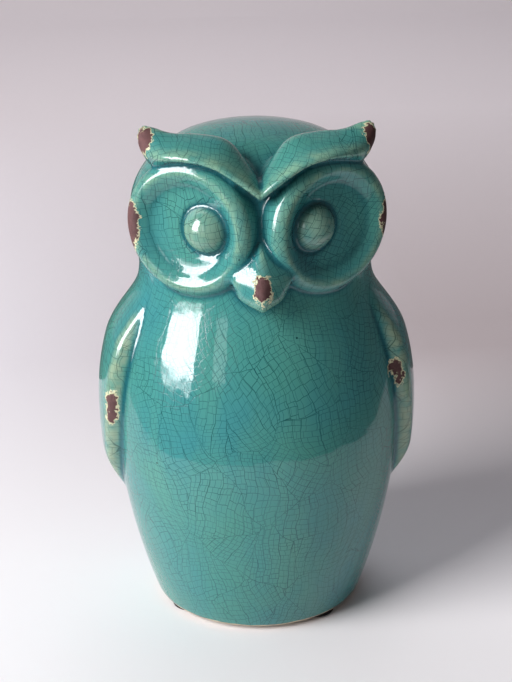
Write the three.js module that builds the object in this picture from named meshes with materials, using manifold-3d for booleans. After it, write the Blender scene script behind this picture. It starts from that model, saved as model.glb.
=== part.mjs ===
// Ceramic owl coin bank: a hollow slip-cast owl with a coin slot in the back of its head,
// a soft bung in its base and four foam pads under the foot.
// Millimetres, +Z up. The owl looks along -Y and stands on the plane z = 0.

import * as THREE from "three";
import { LoftGeometry } from "three/addons/geometries/LoftGeometry.js";
import { mergeVertices } from "three/addons/utils/BufferGeometryUtils.js";
import Module from "manifold-3d";

// ---- driving dimensions -------------------------------------------------------------

const WALL = 6; // thickness of the cast wall
const GAP = 0.3; // clearance between neighbouring pieces

const PAD_THICKNESS = 1.5;
const PAD_RADIUS = 9.5;
const PAD_CIRCLE = 42; // radius of the circle that the pad centres lie on
const PAD_ANGLES = { // degrees from straight ahead, positive towards +X
  foot_pad_front_left: -60,
  foot_pad_front_right: 41,
  foot_pad_rear_right: 128,
  foot_pad_rear_left: -148,
};

const FOOT_Z = PAD_THICKNESS + GAP; // height of the flat ring under the ceramic
const FOOT_ROUND = 3; // radius of the rounding where the wall meets the foot
const RECESS_RADIUS = 30; // hollow under the base, which keeps the bung off the table
const RECESS_DEPTH = 6.5;
const FLOOR_Z = FOOT_Z + RECESS_DEPTH; // underside of the ceramic floor
const CHAMBER_Z = FLOOR_Z + WALL; // top of the ceramic floor

// The body without wings and face: height, half width and half depth of its oval sections.
const BODY_STATIONS = [
  [4.8, 54.2, 52.4],
  [21, 59.2, 57.2],
  [50, 66.2, 63.2],
  [80, 70.8, 67.2],
  [105, 72.4, 68.4],
  [130, 70.6, 66.8],
  [150, 65.4, 62.2],
  [165, 59.8, 57.2],
  [178, 56.6, 54.2],
  [190, 57.6, 53.6],
  [203, 59.6, 54.4],
  [215, 59.4, 53.8],
  [227, 54.6, 49.6],
  [238.5, 43.8, 40.2],
  [245.5, 29.5, 27],
  [248.5, 15, 13.6],
  [249.5, 0, 0],
];

const WING_THICKNESS = 7;
const WING_TIP_FADE = [50, 88]; // heights over which the wing grows to its full thickness above its tip
const WING_SHOULDER_FADE = [144, 178]; // heights over which it thins out again into the shoulder
// Side outline of a folded wing, as y and z, starting at the shoulder and going down the front edge.
const WING_OUTLINE = [
  [-12, 180],
  [-21, 175],
  [-25.5, 160],
  [-28, 138],
  [-26, 110],
  [-20, 86],
  [-9, 66],
  [2, 53],
  [7, 53],
  [20, 72],
  [32, 100],
  [37, 130],
  [30, 160],
  [12, 180],
];

const EYE_CENTRE = [31.5, -42, 212.5]; // centre of the right eye dish
const EYE_TURN = 30; // degrees that each dish turns outwards
const EYE_RADIUS = 32.3;
const EYE_ROOT = 24; // how far the dish's solid reaches back into the head
const DISH_FLOOR = 1; // floor of the dish in front of that centre
const RIM_HEIGHT = 6; // crest of the rim in front of it
const RIM_WIDTH = 9;
const PUPIL_RADIUS = 11.5;
const PUPIL_SHIFT = 8; // from the centre of the dish towards the beak
const PUPIL_SINK = 3; // centre of the ball behind the centre of the dish

// Guide points of the right brow from the middle of the face to the tip of the horn:
// its lower edge, its front ridge and its top edge.
const BROW_LOWER = [
  [-3, -56, 226.5],
  [10, -56, 236.5],
  [21, -53.5, 243.5],
  [32, -49, 245],
  [41, -43.5, 243.5],
  [46, -38.5, 241],
  [49, -33, 240],
];
const BROW_RIDGE = [
  [-3, -61, 229.5],
  [9, -61, 240],
  [20, -59.5, 246.5],
  [32, -55, 249],
  [42, -48.5, 248.5],
  [50, -39.5, 248.5],
  [54, -32, 251],
];
const BROW_TOP = [
  [-3, -55, 231],
  [6, -47.5, 244.5],
  [15, -40, 253],
  [28, -34.5, 254.5],
  [39, -32.5, 254.5],
  [47, -30.5, 256],
  [52, -28, 257.5],
];
const BROW_ROOT = [3, -26, 232]; // a point inside the head that the back of each brow runs to
const BROW_ROOT_SHARE = 0.45; // how far towards that point the hidden back of a section lies
const HORN_ROOT_LOSS = 0.75; // share of that reach which is lost by the tip of the horn
const HORN_OUTWARDS = [0.9, 0.25, 0.35];
const HORN_CAP = [[0.86, 0.9], [0.5, 1.5]]; // size of each last section and its step outwards

// Beak: height, half width, ridge y, from its top to its tip.
const BEAK_STATIONS = [
  [209.5, 2, -56],
  [205, 6, -60],
  [199, 11, -65],
  [192.5, 14, -68.5],
  [187, 12, -69.5],
  [182, 9.5, -68.5],
  [179, 5, -66],
];
const BEAK_BACK_Y = -46; // inside the head
const BEAK_FACET = 0.62; // how far the facets' side edges lie from the back towards the ridge
const BEAK_ROOT_WIDTH = 0.95; // width inside the head as a share of the width outside
const RIDGE_WIDTH = 0.42; // width of the rounded ridge as a share of the beak's
const RIDGE_DEPTH = 0.8; // how far towards the ridge its shoulders lie

const SLOT_LENGTH = 38;
const SLOT_WIDTH = 5.4;
const SLOT_Z = 214;
const SLOT_INNER_Y = 30; // the slot is cut from inside the chamber outwards
const SLOT_REACH = 50;

const HOLE_RADIUS = 19; // hole in the ceramic floor for the bung
const BUNG_FLANGE_RADIUS = 23;
const BUNG_FLANGE = 2.4; // thickness of the flange
const BUNG_SKIRT = 11; // height of the skirt above the flange
const BUNG_WALL = 2.6;
const BUNG_RIB = 0.8; // how far the sealing ribs stand out from the skirt
const BUNG_RIB_HEIGHT = 2;
const BUNG_RIB_FLAT = 0.6; // height of a rib's flat crest
const BUNG_RIB_COUNT = 3;
const BUNG_END = 1; // plain skirt below the first rib, and the bevel at its top
const BUNG_EDGE = 0.8; // bevel of the flange
const BUNG_FLOOR = 0.6; // height of the cup's floor above the flange
const GRIP_LENGTH = 26;
const GRIP_WIDTH = 4;
const GRIP_HEIGHT = 2.2;
const GRIP_ROOT = 0.5; // how far the grip bar is sunk into the flange
const CUT_OVERRUN = 5; // how far each cutting solid runs on past the ceramic

// Facets along and round each shape.
const FINE = {
  body: 22,
  bodyRound: 44,
  footArc: 3,
  chamber: 13,
  chamberRound: 28,
  wing: 16,
  browLong: 11,
  browRound: 11,
  dish: 28,
  rim: 11,
  pupilRound: 20,
  pupilHigh: 12,
  ring: 36,
  pad: 32,
  slotEnd: 8,
  gripEnd: 6,
};

// ---- solids -------------------------------------------------------------------------

const wasm = await Module();
wasm.setup();

function toSolid(geometry) {
  const bare = new THREE.BufferGeometry().copy(geometry);
  bare.deleteAttribute("normal");
  bare.deleteAttribute("uv");
  const merged = mergeVertices(bare, 1e-3);
  return new wasm.Manifold(
    new wasm.Mesh({
      numProp: 3,
      vertProperties: new Float32Array(merged.attributes.position.array),
      triVerts: new Uint32Array(merged.index.array),
    }),
  );
}

function toGeometry(solid) {
  const mesh = solid.getMesh();
  const positions = new THREE.BufferAttribute(new Float32Array(mesh.vertProperties), 3);
  const geometry = new THREE.BufferGeometry().setAttribute("position", positions);
  geometry.setIndex(new THREE.BufferAttribute(new Uint32Array(mesh.triVerts), 1));
  geometry.computeVertexNormals();
  return geometry;
}

function radians(degrees) {
  return THREE.MathUtils.degToRad(degrees);
}

// A surface of revolution about +Z from [radius, height] points that run upwards.
function turned(points, steps) {
  const profile = points.map(([r, z]) => new THREE.Vector2(r, z));
  return new THREE.LatheGeometry(profile, steps).rotateX(Math.PI / 2);
}

function disc(radius, low, high, steps = FINE.ring) {
  return turned([[0, low], [radius, low], [radius, high], [0, high]], steps);
}

// Reflects a geometry in the plane x = 0 and turns its faces the right way out again.
function mirrored(geometry) {
  const bare = new THREE.BufferGeometry().copy(geometry);
  const copy = mergeVertices(bare.scale(-1, 1, 1));
  const index = copy.index.array;
  for (let i = 0; i < index.length; i += 3) {
    [index[i], index[i + 1]] = [index[i + 1], index[i]];
  }
  return copy;
}

function bothSides(geometry) {
  return [toSolid(geometry), toSolid(mirrored(geometry))];
}

function smoothLine(points) {
  const vectors = points.map((p) => new THREE.Vector3(...p));
  return new THREE.CatmullRomCurve3(vectors, false, "catmullrom", 0.5);
}

// ---- body ---------------------------------------------------------------------------

const LEAST_WIDTH = 4; // narrower rings are left out, and the loft closes on its axis
const WING_CUT_Z = 20; // below every wing
const WING_CUT_REACH = 100; // beyond every wing

const bodyLine = smoothLine(BODY_STATIONS.map(([z, w, d]) => [w, d, z]));

// The body's oval loft, cut flat at a lowest height. offsetAt gives, for each height, how far
// the loft is grown or shrunk there, and footRound rounds the edge of the flat bottom.
function bodyLoft(offsetAt, lowest, footRound, steps, round) {
  const rings = bodyLine.getPoints(steps).filter((p) => p.z > lowest + footRound - GAP);
  const first = rings[0];
  const ratio = first.y / first.x;
  const edge = first.x + offsetAt(lowest);
  const arcSteps = footRound > 0 ? FINE.footArc : 0;
  const profile = [[0, lowest, 1]];
  for (let i = 0; i <= arcSteps; i += 1) {
    const turn = arcSteps > 0 ? (i / (arcSteps + 1)) * (Math.PI / 2) : 0;
    const r = edge - footRound * (1 - Math.sin(turn));
    profile.push([r, lowest + footRound * (1 - Math.cos(turn)), ratio]);
  }
  for (const p of rings.slice(0, -1)) {
    const offset = offsetAt(p.z);
    const width = p.x + offset;
    if (width > LEAST_WIDTH) {
      profile.push([width, p.z, (p.y + offset) / width]);
    }
  }
  const top = bodyLine.getPoint(1).z;
  profile.push([0, top + offsetAt(top), 1]);
  const geometry = turned(profile.map(([r, z]) => [r, z]), round);
  const position = geometry.attributes.position;
  const rows = profile.length;
  for (let i = 0; i < position.count; i += 1) {
    position.setY(i, position.getY(i) * profile[i % rows][2]);
  }
  return geometry;
}

function wingSwell(z) {
  const { smoothstep } = THREE.MathUtils;
  return WING_THICKNESS * smoothstep(z, ...WING_TIP_FADE) * (1 - smoothstep(z, ...WING_SHOULDER_FADE));
}

function wingSolids() {
  const outline = new THREE.Shape();
  const points = WING_OUTLINE.map(([y, z]) => new THREE.Vector2(y, z));
  outline.moveTo(points[0].x, points[0].y);
  outline.splineThru([...points.slice(1), points[0]]);
  const block = new THREE.ExtrudeGeometry(outline, {
    depth: WING_CUT_REACH,
    bevelEnabled: false,
    curveSegments: FINE.wing,
  });
  // The outline's own axes are y and z, and it is extruded along +X.
  block.applyMatrix4(
    new THREE.Matrix4().makeBasis(
      new THREE.Vector3(0, 1, 0),
      new THREE.Vector3(0, 0, 1),
      new THREE.Vector3(1, 0, 0),
    ),
  );
  const swollen = toSolid(bodyLoft(wingSwell, WING_CUT_Z, 0, FINE.body * 2, FINE.bodyRound));
  return bothSides(block).map((side) => side.intersect(swollen));
}

// ---- face ---------------------------------------------------------------------------

// Places a geometry whose own +Z is the direction that the right eye looks in.
function onEye(geometry) {
  const turn = radians(EYE_TURN);
  const out = new THREE.Vector3(Math.sin(turn), -Math.cos(turn), 0);
  const up = new THREE.Vector3(0, 0, 1);
  const side = new THREE.Vector3().crossVectors(up, out);
  const place = new THREE.Matrix4().makeBasis(side, up, out);
  return geometry.applyMatrix4(place.setPosition(...EYE_CENTRE));
}

function eyeDish() {
  const crest = EYE_RADIUS - RIM_WIDTH / 2;
  const rim = new THREE.SplineCurve([
    new THREE.Vector2(EYE_RADIUS - 1, -EYE_ROOT),
    new THREE.Vector2(EYE_RADIUS, -3),
    new THREE.Vector2(EYE_RADIUS - 0.6, RIM_HEIGHT - 3),
    new THREE.Vector2(crest, RIM_HEIGHT),
    new THREE.Vector2(crest - 3.5, RIM_HEIGHT - 1.4),
    new THREE.Vector2(crest - 7.5, DISH_FLOOR + 0.9),
    new THREE.Vector2(crest - 12.5, DISH_FLOOR),
  ]);
  const inside = rim.getPoints(FINE.rim).map((p) => [p.x, p.y]);
  const profile = [[0, -EYE_ROOT], ...inside, [0, DISH_FLOOR]];
  return onEye(turned(profile, FINE.dish));
}

// The open space over a dish, which is cut out of the body behind it.
function dishSpace() {
  const crest = EYE_RADIUS - RIM_WIDTH / 2;
  const low = DISH_FLOOR - 1;
  const profile = [[0, low], [crest - 6, low], [crest, RIM_HEIGHT - 2], [crest, EYE_ROOT], [0, EYE_ROOT]];
  return onEye(turned(profile, FINE.dish));
}

function pupil() {
  const ball = new THREE.SphereGeometry(PUPIL_RADIUS, FINE.pupilRound, FINE.pupilHigh);
  return onEye(ball.translate(-PUPIL_SHIFT, 0, -PUPIL_SINK));
}

const SECTION_TENSION = 0.35; // how full the corners of a brow's section are

function brow() {
  const lower = smoothLine(BROW_LOWER);
  const ridge = smoothLine(BROW_RIDGE);
  const top = smoothLine(BROW_TOP);
  const root = new THREE.Vector3(...BROW_ROOT);
  const sections = [];
  for (let i = 0; i <= FINE.browLong; i += 1) {
    const t = i / FINE.browLong;
    const low = lower.getPoint(t);
    const high = top.getPoint(t);
    const reach = BROW_ROOT_SHARE * (1 - HORN_ROOT_LOSS * t);
    const corners = [
      low.clone().lerp(root, reach),
      high.clone().lerp(root, reach),
      high,
      ridge.getPoint(t),
      low,
    ];
    const loop = new THREE.CatmullRomCurve3(corners, true, "catmullrom", SECTION_TENSION);
    sections.push(loop.getPoints(FINE.browRound).slice(0, -1));
  }
  // The last sections shrink to a blunt rounded end.
  const tip = sections.at(-1);
  const middle = tip.reduce((sum, p) => sum.add(p), new THREE.Vector3()).divideScalar(tip.length);
  const outwards = new THREE.Vector3(...HORN_OUTWARDS).normalize();
  for (const [size, step] of HORN_CAP) {
    const shrunk = (p) => p.clone().sub(middle).multiplyScalar(size).add(middle);
    sections.push(tip.map((p) => shrunk(p).addScaledVector(outwards, step)));
  }
  return new LoftGeometry(sections, { closed: true, capStart: true, capEnd: true });
}

function beak() {
  const sections = BEAK_STATIONS.map(([z, w, ridge]) => {
    const edge = THREE.MathUtils.lerp(BEAK_BACK_Y, ridge, BEAK_FACET);
    const half = [
      [w * BEAK_ROOT_WIDTH, BEAK_BACK_Y],
      [w, edge],
      [w * RIDGE_WIDTH, THREE.MathUtils.lerp(edge, ridge, RIDGE_DEPTH)],
    ];
    const right = half.map(([x, y]) => new THREE.Vector3(x, y, z));
    const left = half.map(([x, y]) => new THREE.Vector3(-x, y, z)).reverse();
    return [...right, new THREE.Vector3(0, ridge, z), ...left];
  });
  return new LoftGeometry(sections, { closed: true, capStart: true, capEnd: true });
}

// ---- openings in the ceramic ----------------------------------------------------------

// A bar with round ends along X, extruded along +Z.
function roundEndedBar(length, width, depth, curveSegments) {
  const outline = new THREE.Shape();
  const straight = length / 2 - width / 2;
  outline.absarc(straight, 0, width / 2, -Math.PI / 2, Math.PI / 2, false);
  outline.absarc(-straight, 0, width / 2, Math.PI / 2, 1.5 * Math.PI, false);
  return new THREE.ExtrudeGeometry(outline, { depth, bevelEnabled: false, curveSegments });
}

function coinSlot() {
  const through = roundEndedBar(SLOT_LENGTH, SLOT_WIDTH, SLOT_REACH, FINE.slotEnd);
  return through.rotateX(-Math.PI / 2).translate(0, SLOT_INNER_Y, SLOT_Z);
}

function ceramicShell() {
  const body = toSolid(bodyLoft(() => 0, FOOT_Z, FOOT_ROUND, FINE.body, FINE.bodyRound));
  const pieces = [
    bothSides(dishSpace()).reduce((left, space) => left.subtract(space), body),
    ...wingSolids(),
    ...bothSides(eyeDish()),
    ...bothSides(pupil()),
    ...bothSides(brow()),
    toSolid(beak()),
  ];
  const outside = pieces.reduce((whole, piece) => whole.add(piece));
  const hollows = [
    toSolid(bodyLoft(() => -WALL, CHAMBER_Z, 0, FINE.chamber, FINE.chamberRound)),
    toSolid(disc(RECESS_RADIUS, -CUT_OVERRUN, FLOOR_Z)),
    toSolid(disc(HOLE_RADIUS, 0, CHAMBER_Z + CUT_OVERRUN)),
    toSolid(coinSlot()),
  ];
  return hollows.reduce((left, hollow) => left.subtract(hollow), outside);
}

// ---- bung and pads ----------------------------------------------------------------------

function bung() {
  const flangeTop = FLOOR_Z - GAP;
  const flangeLow = flangeTop - BUNG_FLANGE;
  const skirtTop = flangeTop + BUNG_SKIRT;
  const ribRadius = HOLE_RADIUS - GAP;
  const skirtRadius = ribRadius - BUNG_RIB;
  const outside = [
    [0, flangeLow],
    [BUNG_FLANGE_RADIUS - BUNG_EDGE, flangeLow],
    [BUNG_FLANGE_RADIUS, flangeLow + BUNG_EDGE],
    [BUNG_FLANGE_RADIUS, flangeTop],
    [skirtRadius, flangeTop],
  ];
  const pitch = (BUNG_SKIRT - 3 * BUNG_END) / BUNG_RIB_COUNT;
  const slant = (BUNG_RIB_HEIGHT - BUNG_RIB_FLAT) / 2;
  for (let i = 0; i < BUNG_RIB_COUNT; i += 1) {
    const low = flangeTop + BUNG_END + i * pitch;
    const high = low + BUNG_RIB_HEIGHT;
    outside.push([skirtRadius, low], [ribRadius, low + slant]);
    outside.push([ribRadius, high - slant], [skirtRadius, high]);
  }
  outside.push([skirtRadius, skirtTop - BUNG_END], [skirtRadius - BUNG_END, skirtTop]);
  const inside = [
    [skirtRadius - BUNG_WALL, skirtTop],
    [skirtRadius - BUNG_WALL, flangeTop + BUNG_FLOOR],
    [0, flangeTop + BUNG_FLOOR],
  ];
  const cup = toSolid(turned([...outside, ...inside], FINE.ring));
  const grip = roundEndedBar(GRIP_LENGTH, GRIP_WIDTH, GRIP_HEIGHT + GRIP_ROOT, FINE.gripEnd);
  return cup.add(toSolid(grip.translate(0, 0, flangeLow - GRIP_HEIGHT)));
}

// ---- assembly ---------------------------------------------------------------------------

const glazedCeramic = new THREE.MeshStandardMaterial({ color: "#4fa39b", roughness: 0.12, metalness: 0 });
const softVinyl = new THREE.MeshStandardMaterial({ color: "#d9d6cc", roughness: 0.55, metalness: 0 });
const blackFoam = new THREE.MeshStandardMaterial({ color: "#1c1b1c", roughness: 0.95, metalness: 0 });

const owlBank = new THREE.Group();

function place(name, geometry, material) {
  const mesh = new THREE.Mesh(geometry, material);
  mesh.name = name;
  owlBank.add(mesh);
  return mesh;
}

place("ceramic_shell", toGeometry(ceramicShell()), glazedCeramic);
place("base_stopper", toGeometry(bung()), softVinyl);

for (const [name, angle] of Object.entries(PAD_ANGLES)) {
  const pad = disc(PAD_RADIUS, 0, PAD_THICKNESS, FINE.pad);
  const mesh = place(name, pad, blackFoam);
  const turn = radians(angle);
  mesh.position.set(PAD_CIRCLE * Math.sin(turn), -PAD_CIRCLE * Math.cos(turn), 0);
}

export default owlBank;
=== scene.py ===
"""A hollow ceramic owl coin bank in a crackled turquoise glaze, on a white table by a window.

The slip casting is one closed mesh with an even skin, its soft bung and foam pads are separate
pieces, and every finish is made of shader nodes. Shapes are worked in millimetres in the part's
own frame (the owl looks along -Y, +Z up) and turned to metres when a mesh is made.
"""
import math

import bmesh
import bpy
import numpy as np
from mathutils import Matrix, Vector
from mathutils.bvhtree import BVHTree


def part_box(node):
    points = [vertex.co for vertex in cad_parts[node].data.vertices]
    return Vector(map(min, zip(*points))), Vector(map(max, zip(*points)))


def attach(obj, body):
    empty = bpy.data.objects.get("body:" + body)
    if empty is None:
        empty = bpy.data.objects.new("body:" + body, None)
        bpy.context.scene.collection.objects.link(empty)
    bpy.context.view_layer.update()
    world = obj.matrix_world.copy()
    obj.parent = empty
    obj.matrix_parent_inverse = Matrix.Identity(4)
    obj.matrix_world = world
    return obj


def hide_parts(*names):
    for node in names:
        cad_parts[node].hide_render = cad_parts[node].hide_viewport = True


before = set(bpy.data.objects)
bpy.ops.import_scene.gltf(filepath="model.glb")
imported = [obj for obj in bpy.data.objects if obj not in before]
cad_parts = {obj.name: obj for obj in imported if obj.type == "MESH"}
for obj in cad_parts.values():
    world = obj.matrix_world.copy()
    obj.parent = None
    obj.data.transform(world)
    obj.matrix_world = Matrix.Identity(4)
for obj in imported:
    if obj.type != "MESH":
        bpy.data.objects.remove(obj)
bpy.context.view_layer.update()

MM = 0.001

# ---- driving dimensions, in millimetres ---------------------------------------------------

WALL = 6.0
GAP = 0.3
PAD_THICKNESS = 1.5
PAD_RADIUS = 9.5
FOOT_Z = PAD_THICKNESS + GAP
RECESS_RADIUS = 30.0
RECESS_DEPTH = 6.5
FLOOR_Z = FOOT_Z + RECESS_DEPTH  # underside of the ceramic floor
CHAMBER_Z = FLOOR_Z + WALL

# The body without wings and face: height, half width and half depth of its oval sections.
BODY_STATIONS = [
    (4.8, 54.2, 52.4),
    (21, 59.2, 57.2),
    (50, 66.2, 63.2),
    (80, 70.8, 67.2),
    (105, 72.4, 68.4),
    (130, 70.6, 66.8),
    (150, 65.4, 62.2),
    (165, 59.8, 57.2),
    (178, 56.6, 54.2),
    (190, 57.6, 53.6),
    (203, 59.6, 54.4),
    (215, 59.4, 53.8),
    (227, 54.6, 49.6),
    (238.5, 43.8, 40.2),
    (245.5, 29.5, 27),
    (248.5, 15, 13.6),
]
CROWN_Z = 249.5

WING_THICKNESS = 7.0
WING_TIP_FADE = (50, 88)
WING_SHOULDER_FADE = (144, 178)
# Side outline of a folded wing, as y and z, down its front edge and up its back.
WING_OUTLINE = [
    (-12, 180),
    (-21, 175),
    (-25.5, 160),
    (-28, 138),
    (-26, 110),
    (-20, 86),
    (-9, 66),
    (2, 53),
    (7, 53),
    (20, 72),
    (32, 100),
    (37, 130),
    (30, 160),
    (12, 180),
]

EYE_CENTRE = np.array([31.5, -42.0, 212.5])
EYE_TURN = math.radians(30)  # each dish looks this far outwards
EYE_RADIUS = 32.3
EYE_ROOT = 24.0  # how far a dish's solid reaches back into the head
DISH_FLOOR = 1.0  # floor of the dish in front of its centre
RIM_HEIGHT = 6.0
RIM_WIDTH = 9.0
PUPIL_RADIUS = 11.5
PUPIL_SHIFT = 8.0
PUPIL_SINK = 3.0
MOAT_RADIUS = 12.0  # the soft groove round each pupil
MOAT_DEPTH = 0.9
MOAT_WIDTH = 1.2

# Guide points of the right brow, from the middle of the face to the tip of the horn.
BROW_LOWER = [
    (-3, -56, 226.5),
    (10, -56, 236.5),
    (21, -53.5, 243.5),
    (32, -49, 245),
    (41, -43.5, 243.5),
    (46, -38.5, 241),
    (49, -33, 240),
]
BROW_RIDGE = [
    (-3, -61, 229.5),
    (9, -61, 240),
    (20, -59.5, 246.5),
    (32, -55, 249),
    (42, -48.5, 248.5),
    (50, -39.5, 248.5),
    (54, -32, 251),
]
BROW_TOP = [
    (-3, -55, 231),
    (6, -47.5, 244.5),
    (15, -40, 253),
    (28, -34.5, 254.5),
    (39, -32.5, 254.5),
    (47, -30.5, 256),
    (52, -28, 257.5),
]
BROW_ROOT = Vector((3, -26, 232))

# Beak: height, half width and ridge y, from its tip upwards.
BEAK_STATIONS = [
    (179, 5, -66),
    (182, 9.5, -68.5),
    (187, 12, -69.5),
    (192.5, 14, -68.5),
    (199, 11, -65),
    (205, 6, -60),
    (209.5, 2, -56),
]
BEAK_BACK_Y = -46.0
BEAK_FACET = 0.38  # share of the beak's depth that its facets fall away from the ridge

SLOT_LENGTH = 38.0
SLOT_WIDTH = 5.4
SLOT_Z = 214.0
SLOT_INNER_Y = 40.6  # the slot is cut from here, inside the chamber, outwards

HOLE_RADIUS = 19.0
BUNG_FLANGE_RADIUS = 23.0
BUNG_FLANGE = 2.4
BUNG_SKIRT = 11.0
BUNG_WALL = 2.6
BUNG_RIB = 0.8
BUNG_RIB_COUNT = 3
GRIP_LENGTH = 26.0
GRIP_WIDTH = 4.0
GRIP_HEIGHT = 2.2

MEAN_RADIUS = 66.0  # of the body, for rolling its skin out flat
SKIN_STEP = 1.4  # size of the facets of the ceramic's outer skin
BUNG_STEP = 0.55


# ---- smooth curves and fields ---------------------------------------------------------------

def spline(knots, values):
    """A natural cubic spline: a function that gives the value and the slope, straight past its ends."""
    x, y = np.array(knots, float), np.array(values, float)
    h, n = np.diff(x), len(x)
    system, right = np.eye(n), np.zeros(n)
    for i in range(1, n - 1):
        system[i, i - 1:i + 2] = h[i - 1], 2 * (h[i - 1] + h[i]), h[i]
        right[i] = 6 * ((y[i + 1] - y[i]) / h[i] - (y[i] - y[i - 1]) / h[i - 1])
    bend = np.linalg.solve(system, right)

    def at(t):
        i = np.clip(np.searchsorted(x, t) - 1, 0, n - 2)
        inside = np.clip(t, x[0], x[-1])
        a, b = (x[i + 1] - inside) / h[i], (inside - x[i]) / h[i]
        value = a * y[i] + b * y[i + 1] + ((a**3 - a) * bend[i] + (b**3 - b) * bend[i + 1]) * h[i]**2 / 6
        turning = (3 * b**2 - 1) * bend[i + 1] - (3 * a**2 - 1) * bend[i]
        slope = (y[i + 1] - y[i]) / h[i] + turning * h[i] / 6
        return value + slope * (t - inside), slope

    return at


def smooth_line(points, steps, closed=True):
    """A Catmull-Rom line through the points, with a number of steps between each two."""
    p = np.array(points, float)
    if not closed:
        p = np.concatenate([2 * p[:1] - p[1:2], p, 2 * p[-1:] - p[-2:-1]])
    t = (np.arange(steps) / steps)[:, None]
    line = []
    for i in range(0 if closed else 1, len(p) - (0 if closed else 2)):
        a, b, c, d = (p[(i + k) % len(p)] for k in (-1, 0, 1, 2))
        bend = (2 * a - 5 * b + 4 * c - d) * t**2 + (3 * b - a - 3 * c + d) * t**3
        line.append(b + ((c - a) * t + bend) / 2)
    return np.concatenate(line)


def smoothstep(x, low, high):
    t = np.clip((x - low) / (high - low), 0, 1)
    return t * t * (3 - 2 * t)


def join(a, b, reach):
    """Union of two distance fields, with a soft fillet about as wide as reach."""
    share = np.maximum(reach - np.abs(a - b), 0) / reach
    return np.minimum(a, b) - share**3 * reach / 6


def common(a, b, reach):
    return -join(-a, -b, reach)


def cut(a, b, reach):
    return common(a, -b, reach)


def outline_distance(points, outline):
    """Distance from plane points to a closed outline, negative inside it."""
    nearest = np.full(len(points), 1e9)
    inside = np.zeros(len(points), bool)
    for a, b in zip(outline, np.roll(outline, -1, axis=0)):
        edge, away = b - a, points - a
        t = np.clip(away @ edge / max(edge @ edge, 1e-9), 0, 1)
        nearest = np.minimum(nearest, ((away - t[:, None] * edge)**2).sum(1))
        spans = (a[1] > points[:, 1]) != (b[1] > points[:, 1])
        if spans.any():
            across = a[0] + (points[:, 1] - a[1]) * edge[0] / (edge[1] or 1e-9)
            inside ^= spans & (points[:, 0] < across)
    return np.where(inside, -1, 1) * np.sqrt(nearest)


def sampled(low, high, step, measure):
    """Measures a field once on a grid, and returns a smooth cubic function that reads the grid."""
    axes = [np.arange(a, b + step, step) for a, b in zip(low, high)]
    grid = np.stack(np.meshgrid(*axes, indexing="ij"), -1)
    values = measure(grid.reshape(-1, len(axes))).reshape(grid.shape[:-1])
    size = np.array(values.shape)

    def at(points):
        place = np.clip((points - np.array(low)) / step, 1, size - 2.001)
        cell = np.floor(place).astype(int)
        t = place - cell
        weights = [(1 - t)**3, 3 * t**3 - 6 * t**2 + 4, -3 * t**3 + 3 * t**2 + 3 * t + 1, t**3]
        total = np.zeros(len(points))
        for offset in np.ndindex(*(4,) * len(axes)):
            share = np.ones(len(points))
            for axis, k in enumerate(offset):
                share = share * weights[k][:, axis] / 6
            total += share * values[tuple((cell + np.array(offset) - 1).T)]
        return total

    return at


# ---- the owl's outside form, as distance fields in millimetres --------------------------------

heights, half_widths, half_depths = (np.array(c, float) for c in zip(*BODY_STATIONS))
width_squared = spline([*heights, CROWN_Z], [*half_widths**2, 0])
roundness = spline(heights, (half_widths / half_depths)**2)


def body_field(p):
    x, y, z = p.T
    w2, w2_slope = width_squared(z)
    ratio, ratio_slope = roundness(np.clip(z, heights[0], heights[-1]))
    value = x**2 + ratio * y**2 - w2
    steepness = np.sqrt(4 * x**2 + (2 * ratio * y)**2 + (ratio_slope * y**2 - w2_slope)**2)
    return value / np.maximum(steepness, 25)


wing_outline = smooth_line(WING_OUTLINE, 12)
wing_side = sampled((-40, 40), (52, 192), 1.0, lambda p: outline_distance(p, wing_outline))


def wing_field(p, body):
    swell = smoothstep(p[:, 2], *WING_TIP_FADE) * (1 - smoothstep(p[:, 2], *WING_SHOULDER_FADE))
    return common(body - WING_THICKNESS * swell, wing_side(p[:, 1:]), 7.0)


def dish_outline():
    """Half section of an eye dish as radius and height, mirrored so that it closes over its axis."""
    crest = EYE_RADIUS - RIM_WIDTH / 2
    rim = [
        (EYE_RADIUS - 1, -EYE_ROOT),
        (EYE_RADIUS, -10),
        (EYE_RADIUS + 0.2, -3),
        (EYE_RADIUS - 0.6, RIM_HEIGHT - 3),
        (crest, RIM_HEIGHT),
        (crest - 3.5, RIM_HEIGHT - 1.4),
        (crest - 7.5, DISH_FLOOR + 0.9),
        (crest - 12.5, DISH_FLOOR),
        (crest - 16, DISH_FLOOR),
        (crest - 20, DISH_FLOOR),
    ]
    half = smooth_line(rim, 10, closed=False)
    return np.concatenate([half, half[::-1] * (-1, 1)])


eye_outline = dish_outline()
eye_section = sampled((-3, -30), (44, 16), 0.8, lambda p: outline_distance(p, eye_outline))
eye_out = np.array([math.sin(EYE_TURN), -math.cos(EYE_TURN), 0])
eye_side = np.array([math.cos(EYE_TURN), math.sin(EYE_TURN), 0])
pupil_centre = EYE_CENTRE - PUPIL_SHIFT * eye_side - PUPIL_SINK * eye_out


def eye_space(p):
    """The open space over a dish, which is cut out of the body behind it."""
    away = p - EYE_CENTRE
    forward, radius = away @ eye_out, np.hypot(away @ eye_side, away[:, 2])
    section = eye_section(np.stack([radius, forward], 1))
    return np.maximum(np.maximum(radius - EYE_RADIUS + RIM_WIDTH / 2, -section), -10 - forward) - 2.4


def eye_field(p):
    away = p - EYE_CENTRE
    forward, sideways = away @ eye_out, away @ eye_side
    dish = eye_section(np.stack([np.hypot(sideways, away[:, 2]), forward], 1))
    round_pupil = np.hypot(sideways + PUPIL_SHIFT, away[:, 2])
    moat = MOAT_DEPTH * np.exp(-((round_pupil - MOAT_RADIUS) / MOAT_WIDTH)**2)
    pupil = np.linalg.norm(p - pupil_centre, axis=1) - PUPIL_RADIUS
    return join(dish + moat, pupil, 0.8)


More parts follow.
